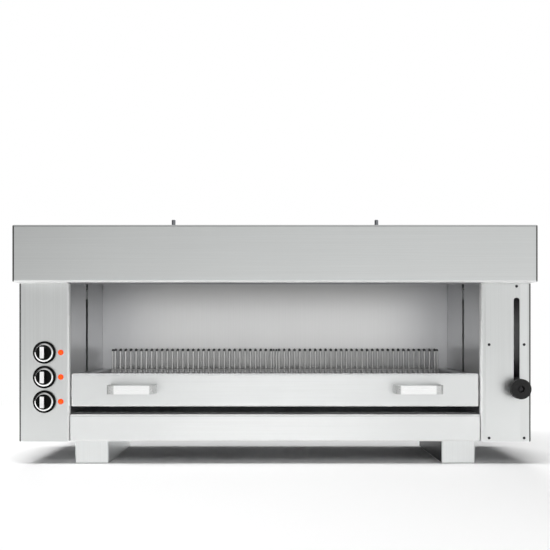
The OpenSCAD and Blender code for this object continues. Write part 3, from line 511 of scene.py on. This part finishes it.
def brushed_steel(
    name, colour, grain=LEVEL_GRAIN, tones=(), roughness=None, contrast=None, metallic=1.0, rim=1.0
):
    """Brushed steel; rim is how much of its mirror stays where it turns away from the eye."""
    steel = bpy.context.scene.melter_steel
    return textured(
        name,
        group_named("Brushed Grain", build_brushed_grain),
        {"Metallic": metallic, "Specular Tint": rgba((rim, rim, rim))},
        {
            "Colour": rgba(colour),
            "Stretch": grain,
            "Contrast": steel.grain_contrast if contrast is None else contrast,
            "Roughness": steel.sheet_roughness if roughness is None else roughness,
        },
        STEEL_RELIEF,
        tones,
    )


def moulded_plastic(name, colour, roughness=0.4, amount=0.25, specular=0.5):
    return textured(
        name,
        group_named("Moulded Speckle", build_moulded_speckle),
        {"Metallic": 0.0, "Specular IOR Level": specular},
        {"Colour": rgba(colour), "Roughness": roughness, "Amount": amount},
        PLASTIC_RELIEF,
    )


# Where the lens starts to turn paler and where it is palest, by the front-to-back part of its
# normal
LENS_RIM, LENS_MIDDLE = -0.75, -1.0
LENS_FINISH = {"Emission Strength": 0.44, "Roughness": 0.25, "Specular IOR Level": 0.3}


def lamp_plastic(name, rim, middle):
    """Glowing lens: the part of the dome that faces forward is paler."""
    material, tree, shader = new_material(name, LENS_FINISH)
    geometry = add(tree, "ShaderNodeNewGeometry")
    parts = add(tree, "ShaderNodeSeparateXYZ")
    tree.links.new(geometry.outputs["Normal"], parts.inputs[0])
    facing = map_range(tree, parts.outputs["Y"], LENS_RIM, LENS_MIDDLE, 0.0, 1.0, smooth=True)
    glow = mix_colours(tree, facing, rgba(rim), rgba(middle))
    tree.links.new(glow, shader.inputs["Base Color"])
    tree.links.new(glow, shader.inputs["Emission Color"])
    return material


def dress(material, *names):
    """Puts a material into every slot of the named CAD nodes."""
    for name in names:
        slots = NODES[name].material_slots
        if not slots:
            raise RuntimeError(f"{name} has no material slot")
        for slot in slots:
            slot.material = material


# ---- Operators that dress the parts ----

class MELTER_OT_hood(bpy.types.Operator):
    """Dress the hood, its hanging studs and what it holds"""
    bl_idname = "melter.hood"
    bl_label = "Hood and Heating"
    bl_options = {"REGISTER", "UNDO"}

    def execute(self, context):
        steel, plastics = context.scene.melter_steel, context.scene.melter_plastics
        # Painted light on the hood: a bright matt strip as a highlight along its bottom fold and a
        # dark band as a reflection on its corner bends
        edges = (
            tone(BEND_HIGHLIGHT, beside("hood_shell", "bottom", *FOLDED_EDGE_HIGHLIGHT), matt=True),
            tone(DARK_BEND_REFLECTION, beside("hood_shell", "corner", *CORNER_BEND_REFLECTION)),
        )
        dress(brushed_steel("hood_steel", steel.hood, tones=edges, rim=DARK_RIM), "hood_shell")
        studs = brushed_steel("stud_steel", steel.mechanism, EVEN_GRAIN, roughness=0.35)
        dress(studs, "hanging_studs", "element_supports")
        tube = brushed_steel(
            "element_steel", steel.element, EVEN_GRAIN, roughness=0.55, metallic=0.6
        )
        dress(tube, "element_left", "element_centre", "element_right")
        wool = moulded_plastic("insulation", plastics.insulation, roughness=0.9, amount=0.6)
        dress(wool, "ceiling_insulation")
        return {"FINISHED"}


class MELTER_OT_body(bpy.types.Operator):
    """Dress the columns, outer panels, screws and foot rails"""
    bl_idname = "melter.body"
    bl_label = "Body and Feet"
    bl_options = {"REGISTER", "UNDO"}

    def execute(self, context):
        steel = context.scene.melter_steel
        # Painted highlight: the columns and the cover plate are painted lighter towards the floor
        left_column_low_highlight = tone(steel.left_column_low_highlight, LEFT_COLUMN_LOW_HIGHLIGHT)
        right_column_low_highlight = tone(steel.right_column_low_highlight, RIGHT_COLUMN_LOW_HIGHLIGHT)
        for name, part, foot in (
            ("left_front_steel", "control_fascia", left_column_low_highlight),
            ("right_front_steel", "right_column_frame", right_column_low_highlight),
        ):
            # Each column's front: its painted lower highlight, a bright matt strip painted as a
            # highlight on its inner folded edge and a dark band painted as a reflection on its
            # outer corner bend
            tones = (
                foot,
                tone(BEND_HIGHLIGHT, beside(part, "inner", *FOLDED_EDGE_HIGHLIGHT), matt=True),
                tone(DARK_BEND_REFLECTION, beside(part, "corner", *CORNER_BEND_REFLECTION)),
            )
            dress(brushed_steel(name, steel.body, UPRIGHT_GRAIN, tones, rim=DARK_RIM), part)
        # Painted highlight: the cover plate's outer strip is painted lighter than the rest
        cover_highlight = tone(steel.cover_side_highlight, beside("slot_cover_plate", "outer", *COVER_EDGE_HIGHLIGHT))
        cover = brushed_steel("cover_steel", steel.body, UPRIGHT_GRAIN, (right_column_low_highlight, cover_highlight))
        dress(cover, "slot_cover_plate")

        side = brushed_steel("side_steel", steel.body, FORE_AFT_GRAIN)
        dress(side, "left_side_panel", "right_side_panel")
        dress(brushed_steel("rear_steel", steel.body), "rear_panel")
        # Painted highlights on the lower panel: lighter in its middle, and matt strips along its
        # top and bottom bends
        tones = (
            tone(steel.lower_panel, LOWER_PANEL_HIGHLIGHT_FADE),
            tone(SOFT_BEND_HIGHLIGHT, beside("lower_front_panel", "top", *LOWER_PANEL_EDGE_HIGHLIGHT), matt=True),
            tone(BEND_HIGHLIGHT, beside("lower_front_panel", "bottom", *LOWER_PANEL_EDGE_HIGHLIGHT), matt=True),
        )
        lower = brushed_steel("lower_panel_steel", steel.lower_panel_highlight, tones=tones)
        dress(lower, "lower_front_panel")

        dress(brushed_steel("left_foot_steel", steel.feet, UPRIGHT_GRAIN), "left_foot_rail")
        # Painted shade: the right foot rail's inner side is painted nearly black
        shaded = (tone(steel.foot_side_shade, beside("right_foot_rail", "inner", *FOOT_SIDE_SHADE)),)
        right = brushed_steel("right_foot_steel", steel.feet, UPRIGHT_GRAIN, shaded)
        dress(right, "right_foot_rail")
        # Painted shade: the base pan and brackets are painted darker, which also darkens the
        # floor's shadow beneath
        hidden_shade = brushed_steel("hidden_steel", steel.hidden_shade, EVEN_GRAIN, roughness=0.45)
        dress(hidden_shade, "base_pan", "guide_brackets")
        screws = brushed_steel("screw_steel", steel.screws, EVEN_GRAIN, roughness=0.45)
        dress(screws, "panel_screws")
        return {"FINISHED"}


class MELTER_OT_cavity(bpy.types.Operator):
    """Dress the cooking cavity"""
    bl_idname = "melter.cavity"
    bl_label = "Cavity"
    bl_options = {"REGISTER", "UNDO"}

    def execute(self, context):
        steel = context.scene.melter_steel
        # Painted shade: the side walls are painted darker towards the ceiling
        tones = (tone(steel.liner_top_shade, WALL_TOP_SHADE),)
        wall = brushed_steel(
            "wall_steel", steel.liner, UPRIGHT_GRAIN, tones, roughness=0.34, contrast=0.10
        )
        dress(wall, "left_liner", "right_liner")
        # Painted shade: the back wall is painted darker towards its top and corners
        tones = (tone(steel.back_top_shade, BACK_TOP_SHADE), tone(steel.back_corner_shade, BACK_CORNER_SHADE))
        back = brushed_steel(
            "back_steel", steel.back, UPRIGHT_GRAIN, tones, roughness=0.40, contrast=0.05
        )
        dress(back, "back_liner")
        for name, part, colour, grain in (
            ("floor_steel", "cavity_floor", steel.floor, LEVEL_GRAIN),
            ("runner_steel", "tray_runners", steel.liner, FORE_AFT_GRAIN),
            ("reflector_steel", "heat_reflector", steel.reflector, LEVEL_GRAIN),
        ):
            dress(brushed_steel(name, colour, grain, roughness=0.40), part)
        return {"FINISHED"}


class MELTER_OT_rack(bpy.types.Operator):
    """Dress the rack and its frame"""
    bl_idname = "melter.rack"
    bl_label = "Rack"
    bl_options = {"REGISTER", "UNDO"}

    def execute(self, context):
        steel = context.scene.melter_steel
        # Painted shade: the tips of the rack's upturned rods are painted dark
        tips = (tone(steel.rack_tip_shade, beside("rack_grid_left", "top", *ROD_TIP_SHADE)),)
        wire = brushed_steel(
            "rack_wire", steel.rack, EVEN_GRAIN, tips, roughness=0.36, contrast=0.04
        )
        dress(wire, "rack_grid_left", "rack_grid_right")
        rails = brushed_steel("frame_steel", steel.liner, FORE_AFT_GRAIN, roughness=0.36)
        dress(rails, "rack_frame")
        return {"FINISHED"}


class MELTER_OT_lift(bpy.types.Operator):
    """Dress the rack's lift and its clamp knob"""
    bl_idname = "melter.lift"
    bl_label = "Lift"
    bl_options = {"REGISTER", "UNDO"}

    def execute(self, context):
        steel, plastics = context.scene.melter_steel, context.scene.melter_plastics
        working = brushed_steel("mechanism_steel", steel.mechanism, EVEN_GRAIN, roughness=0.38)
        dress(working, "lift_blocks", "clamp_washer")
        blackened = brushed_steel("blackened_steel", steel.blackened, EVEN_GRAIN, roughness=0.45)
        dress(blackened, "lift_arm", "clamp_stud", "lift_knob_insert")
        chrome = brushed_steel(
            "guide_chrome", steel.chrome, EVEN_GRAIN, roughness=0.12, contrast=0.02
        )
        dress(chrome, "guide_rods")
        brass = brushed_steel("brass", steel.brass, EVEN_GRAIN, roughness=0.32, contrast=0.04)
        dress(brass, "lift_bushes")
        grip = moulded_plastic(
            "grip_plastic", plastics.grip, roughness=0.5, amount=0.3, specular=0.15
        )
        dress(grip, "lift_knob")
        return {"FINISHED"}


class MELTER_OT_tray(bpy.types.Operator):
    """Dress the drip tray and its handles"""
    bl_idname = "melter.tray"
    bl_label = "Drip Tray"
    bl_options = {"REGISTER", "UNDO"}

    def execute(self, context):
        steel = context.scene.melter_steel
        # Painted light on the tray's front: a highlight in its middle, and matt strips painted as
        # highlights along its ends, top and bottom bends
        tones = (
            tone(steel.tray, TRAY_FRONT_HIGHLIGHT_FADE),
            tone(BEND_HIGHLIGHT, beside("tray_front", "outer", *TRAY_END_HIGHLIGHT), matt=True),
            tone(SOFT_BEND_HIGHLIGHT, beside("tray_front", "top", *TRAY_EDGE_HIGHLIGHT), matt=True),
            tone(BEND_HIGHLIGHT, beside("tray_front", "bottom", *TRAY_EDGE_HIGHLIGHT), matt=True),
        )
        dress(brushed_steel("tray_front_steel", steel.tray_front_highlight, tones=tones), "tray_front")
        dress(brushed_steel("tray_steel", steel.tray), "drip_tray")
        # Painted shade: the handles are painted darker towards their corners
        ends = (
            tone(steel.handle_end_shade, beside("right_tray_handle", "outer", *HANDLE_OUTER_END_SHADE)),
            tone(steel.handle_end_shade, beside("right_tray_handle", "inner", *HANDLE_INNER_END_SHADE)),
        )
        handle = brushed_steel(
            "handle_steel", steel.polished, tones=ends, roughness=0.28, contrast=0.01
        )
        dress(handle, "left_tray_handle", "right_tray_handle")
        return {"FINISHED"}


class MELTER_OT_controls(bpy.types.Operator):
    """Dress the control knobs and pilot lamps"""
    bl_idname = "melter.controls"
    bl_label = "Controls"
    bl_options = {"REGISTER", "UNDO"}

    def execute(self, context):
        steel, plastics = context.scene.melter_steel, context.scene.melter_plastics
        knob = moulded_plastic(
            "knob_plastic", plastics.knob, roughness=0.35, amount=0.2, specular=0.02
        )
        ring = brushed_steel(
            "ring_chrome", steel.polished, EVEN_GRAIN, roughness=0.10, contrast=0.01
        )
        marker = moulded_plastic("marker_plastic", plastics.marker, roughness=0.35, amount=0.03)
        shaft = brushed_steel("shaft_steel", steel.mechanism, EVEN_GRAIN, roughness=0.3)
        lens = lamp_plastic("lamp_plastic", plastics.lamp_rim, plastics.lamp_middle)
        for level in LEVELS:
            dress(knob, f"knob_{level}")
            dress(ring, f"knob_ring_{level}")
            dress(marker, f"knob_marker_{level}")
            dress(shaft, f"knob_shaft_{level}")
            dress(lens, f"lamp_lens_{level}")
        return {"FINISHED"}


class MELTER_OT_services(bpy.types.Operator):
    """Dress the regulators, terminals and cable gland"""
    bl_idname = "melter.services"
    bl_label = "Services"
    bl_options = {"REGISTER", "UNDO"}

    def execute(self, context):
        plastics = context.scene.melter_plastics
        cases = moulded_plastic("regulator_plastic", plastics.regulator, roughness=0.5)
        dress(cases, "energy_regulators", "lamp_bodies")
        block = moulded_plastic("terminal_plastic", plastics.terminal, roughness=0.5)
        dress(block, "terminal_block")
        dress(moulded_plastic("gland_plastic", plastics.gland, roughness=0.45), "cable_gland")
        return {"FINISHED"}


# ---- The studio ----

def floor_piece(reach):
    """A level square that reaches this far each way."""
    points = [(x, y, 0.0) for x in (-reach, reach) for y in (-reach, reach)]
    mesh = bpy.data.meshes.new("floor")
    mesh.from_pydata(points, [], [(0, 2, 3, 1)])
    piece = bpy.data.objects.new("floor", mesh)
    bpy.context.scene.collection.objects.link(piece)
    return piece


def area_lamp(name, power, size, place, target):
    """A lamp that lights but is seen neither by the camera nor in the metal."""
    lamp = bpy.data.lights.new(name, "AREA")
    lamp.shape = "RECTANGLE"
    lamp.size, lamp.size_y = size
    lamp.energy = power
    holder = bpy.data.objects.new(name, lamp)
    bpy.context.scene.collection.objects.link(holder)
    holder.location = place
    holder.rotation_euler = (Vector(target) - Vector(place)).to_track_quat("-Z", "Y").to_euler()
    holder.visible_camera = False
    holder.visible_glossy = False


def grey_ramp(tree, value, stops):
    """Grey levels at positions between -1 and 1, as (position, level) pairs."""
    node = add(tree, "ShaderNodeValToRGB")
    tree.links.new(map_range(tree, value, -1.0, 1.0, 0.0, 1.0), node.inputs["Fac"])
    ramp = node.color_ramp
    while len(ramp.elements) < len(stops):
        ramp.elements.new(0.5)
    for element, (position, level) in zip(ramp.elements, stops):
        element.position = (position + 1.0) / 2.0
        element.color = (level, level, level, 1.0)
    return node.outputs["Color"]


# How bright the room in front of the object is, by the sine of the height above the horizon
# and by the sideways part of the direction (the left is negative)
ROOM_BY_HEIGHT = (
    (-1.0, 1.1), (-0.05, 1.1), (0.03, 1.05), (0.12, 0.88), (0.3, 0.60), (0.6, 0.5), (1.0, 0.6),
)
ROOM_BY_SIDE = (
    (-1.0, 0.05), (-0.7, 0.12), (-0.4, 0.5), (-0.12, 0.92),
    (0.0, 1.0), (0.15, 0.97), (0.8, 1.0), (1.0, 0.5),
)
# How bright the even light of the room is on matt surfaces, by the same height
GLOW_BY_HEIGHT = ((-1.0, 0.9), (0.0, 0.9), (0.3, 1.0), (1.0, 1.15))
# Where mirrors stop showing the room and where they show only the white behind the object, by
# the front-to-back part of the direction
BEHIND = (0.0, 0.3)

# The distances at which the floor starts to turn plain white and is all white, how much each
# direction counts in them, and how far the floor reaches
FLOOR_FADE = (0.6, 1.6)
FLOOR_OVAL = (0.6, 1.0, 0.0)
FLOOR_REACH = 30.0
FLOOR_FINISH = {"Roughness": 0.9, "Specular IOR Level": 0.0}

SENSOR_WIDTH = 36.0
LEVEL_GAZE = (math.radians(90), 0.0, 0.0)
LAMP_TARGET = (0.0, 0.0, 0.1)
# Size and place of each lamp
LAMPS = {
    "top": ((1.6, 0.8), (0.0, -1.1, 2.6)),
    "fill": ((2.0, 1.0), (0.0, -3.0, 2.0)),
    "side": ((0.8, 1.5), (-1.9, -1.0, 3.0)),
    "back": ((3.0, 0.6), (0.0, 3.6, 2.0)),
}


def seen_directly(tree):
    """1 for rays that show the background: from the camera, mirrored or through glass."""
    path = add(tree, "ShaderNodeLightPath")
    camera, mirrored = path.outputs["Is Camera Ray"], path.outputs["Is Glossy Ray"]
    direct = math_node(tree, "MAXIMUM", camera, mirrored)
    return math_node(tree, "MAXIMUM", direct, path.outputs["Is Transmission Ray"])


def floor_white(name, colour):
    """Matt floor that keeps the object's shadow and turns plain white further off."""
    material, tree, shader = new_material(name, {"Base Color": rgba(colour), **FLOOR_FINISH})
    place = add(tree, "ShaderNodeNewGeometry")
    squeezed = add(tree, "ShaderNodeVectorMath", operation="MULTIPLY")
    squeezed.inputs[1].default_value = FLOOR_OVAL
    tree.links.new(place.outputs["Position"], squeezed.inputs[0])
    distance = add(tree, "ShaderNodeVectorMath", operation="LENGTH")
    tree.links.new(squeezed.outputs[0], distance.inputs[0])
    far = map_range(tree, distance.outputs["Value"], *FLOOR_FADE, 0.0, 1.0, smooth=True)
    plain = add(tree, "ShaderNodeEmission", inputs={"Color": WHITE, "Strength": 1.0})
    mixed = add(tree, "ShaderNodeMixShader")
    tree.links.new(math_node(tree, "MULTIPLY", far, seen_directly(tree)), mixed.inputs[0])
    tree.links.new(shader.outputs[0], mixed.inputs[1])
    tree.links.new(plain.outputs[0], mixed.inputs[2])
    tree.links.new(mixed.outputs[0], tree.nodes["Material Output"].inputs["Surface"])
    return material


def studio_world(dome):
    """White all round for the camera. Mirrors show a room in front that fades to the left and
    upwards."""
    world = bpy.data.worlds.new("studio")
    bpy.context.scene.world = world
    world.use_nodes = True
    tree = world.node_tree
    tree.nodes.clear()
    link = tree.links.new
    place = add(tree, "ShaderNodeTexCoord")
    parts = add(tree, "ShaderNodeSeparateXYZ")
    link(place.outputs["Generated"], parts.inputs[0])
    room = mix_colours(
        tree,
        1.0,
        grey_ramp(tree, parts.outputs["Z"], ROOM_BY_HEIGHT),
        grey_ramp(tree, parts.outputs["X"], ROOM_BY_SIDE),
        "MULTIPLY",
    )
    behind = map_range(tree, parts.outputs["Y"], *BEHIND, 0.0, 1.0, smooth=True)
    path = add(tree, "ShaderNodeLightPath")
    white = math_node(tree, "MAXIMUM", behind, path.outputs["Is Camera Ray"])
    seen = mix_colours(tree, white, room, WHITE)
    even = add(tree, "ShaderNodeBackground", inputs={"Strength": dome})
    link(grey_ramp(tree, parts.outputs["Z"], GLOW_BY_HEIGHT), even.inputs["Color"])
    backdrop = add(tree, "ShaderNodeBackground", inputs={"Strength": 1.0})
    link(seen, backdrop.inputs["Color"])
    mixed = add(tree, "ShaderNodeMixShader")
    link(seen_directly(tree), mixed.inputs[0])
    link(even.outputs[0], mixed.inputs[1])
    link(backdrop.outputs[0], mixed.inputs[2])
    output = add(tree, "ShaderNodeOutputWorld")
    link(mixed.outputs[0], output.inputs["Surface"])


class MELTER_OT_studio(bpy.types.Operator):
    """Set up the floor, lamps, world and camera"""
    bl_idname = "melter.studio"
    bl_label = "Studio"
    bl_options = {"REGISTER", "UNDO"}

    def execute(self, context):
        studio = context.scene.melter_studio
        camera = bpy.data.objects.new("camera", bpy.data.cameras.new("camera"))
        context.scene.collection.objects.link(camera)
        camera.location = (0.0, -studio.camera_distance, studio.camera_height)
        camera.rotation_euler = LEVEL_GAZE
        camera.data.lens = studio.lens
        camera.data.sensor_width = SENSOR_WIDTH
        camera.data.shift_y = studio.shift
        context.scene.camera = camera
        context.scene.view_settings.view_transform = "Standard"

        floor = floor_piece(FLOOR_REACH)
        floor.data.materials.append(floor_white("floor", studio.floor))

        studio_world(studio.dome)
        for name, (size, place) in LAMPS.items():
            area_lamp(f"{name}_lamp", getattr(studio, name), size, place, LAMP_TARGET)
        return {"FINISHED"}


# ---- Panel and registration ----

class MELTER_PT_panel(bpy.types.Panel):
    """Lists the steps that dress the cheese melter"""
    bl_idname = "MELTER_PT_panel"
    bl_label = "Cheese Melter"
    bl_space_type = "VIEW_3D"
    bl_region_type = "UI"
    bl_category = "Cheese Melter"

    def draw(self, context):
        layout = self.layout
        for step in STEPS:
            layout.operator(step.bl_idname)
        for group_name in GROUPS:
            group = getattr(context.scene, group_name)
            for name in group.__annotations__:
                layout.prop(group, name)


STEPS = (
    MELTER_OT_studio,
    MELTER_OT_hood,
    MELTER_OT_body,
    MELTER_OT_cavity,
    MELTER_OT_rack,
    MELTER_OT_lift,
    MELTER_OT_tray,
    MELTER_OT_controls,
    MELTER_OT_services,
)
GROUPS = {
    "melter_steel": MelterSteel,
    "melter_plastics": MelterPlastics,
    "melter_studio": MelterStudio,
}


def register():
    for group in GROUPS.values():
        bpy.utils.register_class(group)
    for name, group in GROUPS.items():
        setattr(bpy.types.Scene, name, PointerProperty(type=group))
    for kind in (*STEPS, MELTER_PT_panel):
        bpy.utils.register_class(kind)


def unregister():
    for kind in (MELTER_PT_panel, *reversed(STEPS)):
        bpy.utils.unregister_class(kind)
    for name in GROUPS:
        delattr(bpy.types.Scene, name)
    for group in GROUPS.values():
        bpy.utils.unregister_class(group)


def main():
    register()
    for step in STEPS:
        group, name = step.bl_idname.split(".")
        getattr(getattr(bpy.ops, group), name)()


if __name__ == "__main__":
    main()
